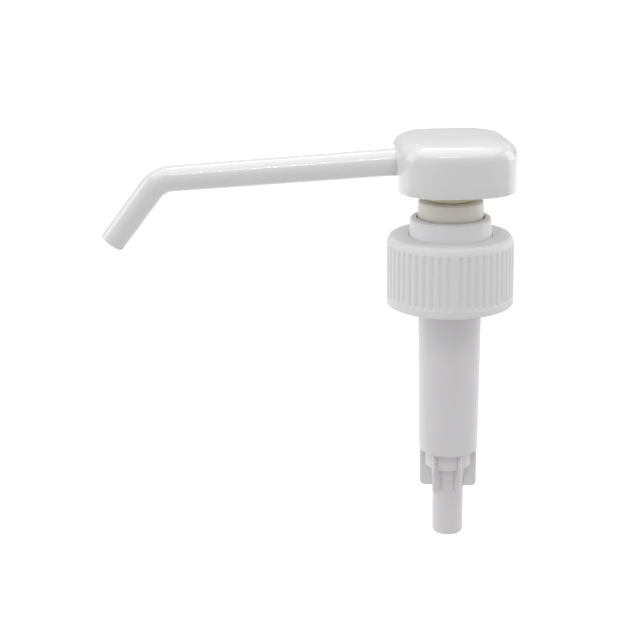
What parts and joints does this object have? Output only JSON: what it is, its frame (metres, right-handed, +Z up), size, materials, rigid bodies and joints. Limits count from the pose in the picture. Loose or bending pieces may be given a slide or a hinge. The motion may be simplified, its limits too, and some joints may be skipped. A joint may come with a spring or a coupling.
{
  "type": "condiment pump dispenser",
  "caption": "Long-nozzle dispensing pump with a ribbed screw closure, for a bottle of sauce or syrup; the head presses down and turns, and ball valves meter each stroke.",
  "frame": {"origin": "on the pump's axis, in the plane of the bottle's mouth (the underside of the gasket)", "axes": "+Z up along the pump's axis, towards the head; -X along the nozzle; +Y across"},
  "size_m": [0.1198, 0.0386, 0.1248],
  "materials": {
    "gloss_white": "gloss",
    "satin_white": "satin",
    "natural_plastic": "satin, slightly translucent",
    "gasket_foam": "matt",
    "spring_steel": "bright"
  },
  "bodies": {
    "pump_body": {"housing": "natural_plastic", "foot": "natural_plastic", "ball_cage": "natural_plastic", "collar": "satin_white", "gasket": "gasket_foam"},
    "screw_closure": {"closure": "satin_white"},
    "plunger": {"piston": "natural_plastic", "spring": "spring_steel"},
    "pump_head": {"head": "gloss_white", "nozzle": "gloss_white", "stem_bell": "natural_plastic", "stem": "satin_white", "piston_plug": "satin_white"},
    "outlet_valve": {"outlet_ball": "spring_steel"},
    "inlet_valve": {"inlet_ball": "spring_steel"}
  },
  "joints": [
    {"name": "closure_spin", "type": "hinge", "parent": "pump_body", "child": "screw_closure", "pos_m": [0, 0, 0], "axis": [0, 0, 1], "continuous": true},
    {"name": "pump_stroke", "type": "slide", "parent": "pump_body", "child": "plunger", "axis": [0, 0, -1], "range_m": [0, 0.012], "stiffness_N_per_m": 700, "springref_m": -0.012, "deforming": ["spring"]},
    {"name": "head_swivel", "type": "hinge", "parent": "plunger", "child": "pump_head", "pos_m": [0, 0, 0], "axis": [0, 0, 1], "continuous": true},
    {"name": "outlet_ball_lift", "type": "slide", "parent": "pump_head", "child": "outlet_valve", "axis": [0, 0, 1], "range_m": [0, 0.0021]},
    {"name": "inlet_ball_lift", "type": "slide", "parent": "pump_body", "child": "inlet_valve", "axis": [0, 0, 1], "range_m": [0, 0.0031]}
  ]
}
